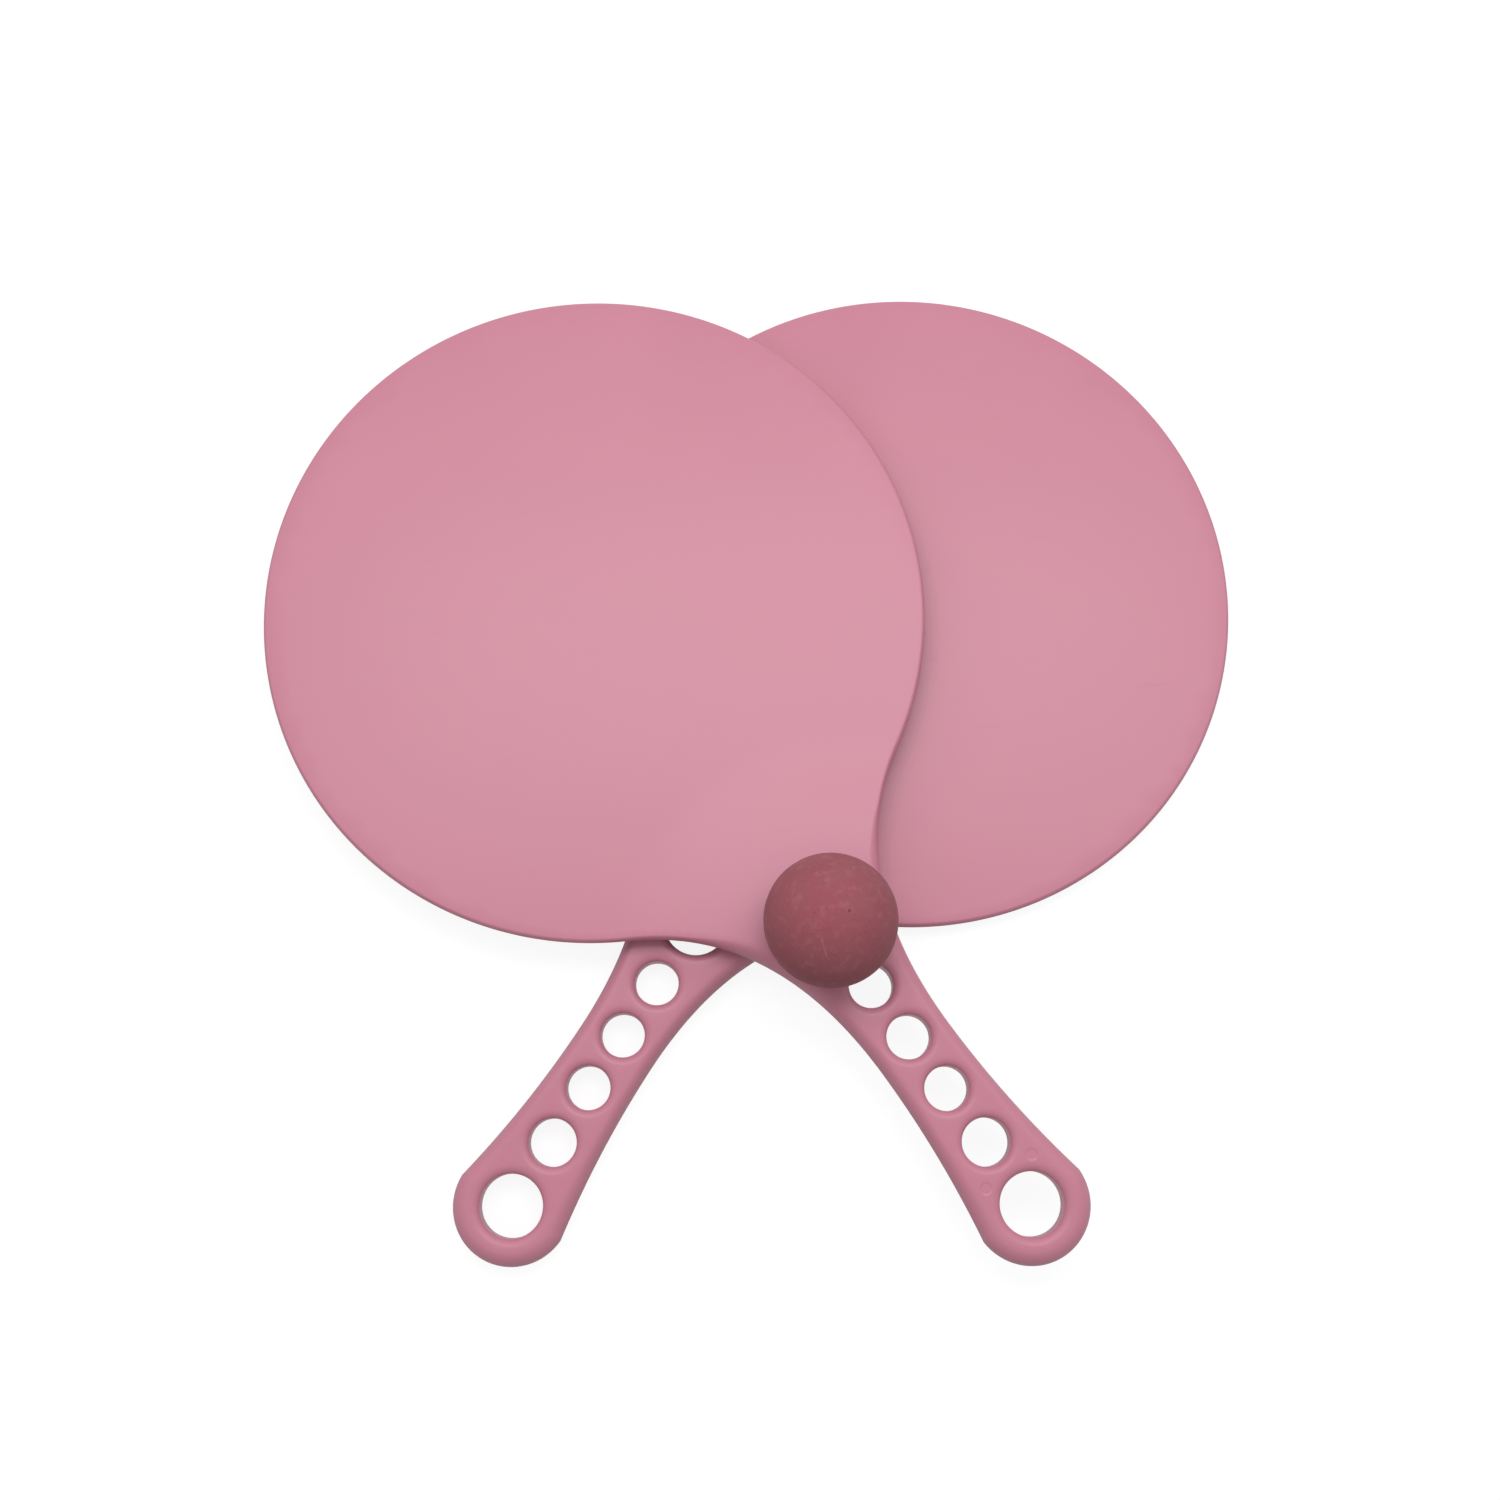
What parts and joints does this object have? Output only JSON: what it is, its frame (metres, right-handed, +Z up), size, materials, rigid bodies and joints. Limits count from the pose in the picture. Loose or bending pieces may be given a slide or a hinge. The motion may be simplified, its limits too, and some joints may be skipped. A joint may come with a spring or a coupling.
{
  "type": "beach paddle set",
  "caption": "Crossed one-piece moulded beach paddles with round blades and pierced handles, and a sponge ball seated in the throat hole of the upper paddle.",
  "frame": {"origin": "on the floor, under the middle of the box around the crossed paddles", "axes": "+X to the right, from the upper paddle's blade to the lower paddle's blade; +Y from the handles to the blades; +Z up, from the floor through the paddles to the ball"},
  "size_m": [0.2924, 0.2956, 0.0574],
  "materials": {
    "paddle_plastic": "satin",
    "ball_rubber": "matte"
  },
  "bodies": {
    "lower_paddle": {"lower_paddle": "paddle_plastic"},
    "upper_paddle": {"upper_paddle": "paddle_plastic"},
    "ball": {"ball": "ball_rubber"}
  },
  "joints": [
    {"name": "upper_paddle_lift", "type": "slide", "parent": "lower_paddle", "child": "upper_paddle", "axis": [0, 0, 1], "range_m": [0, 0.12]},
    {"name": "ball_lift", "type": "slide", "parent": "upper_paddle", "child": "ball", "axis": [0, 0, 1], "range_m": [0, 0.08]}
  ]
}
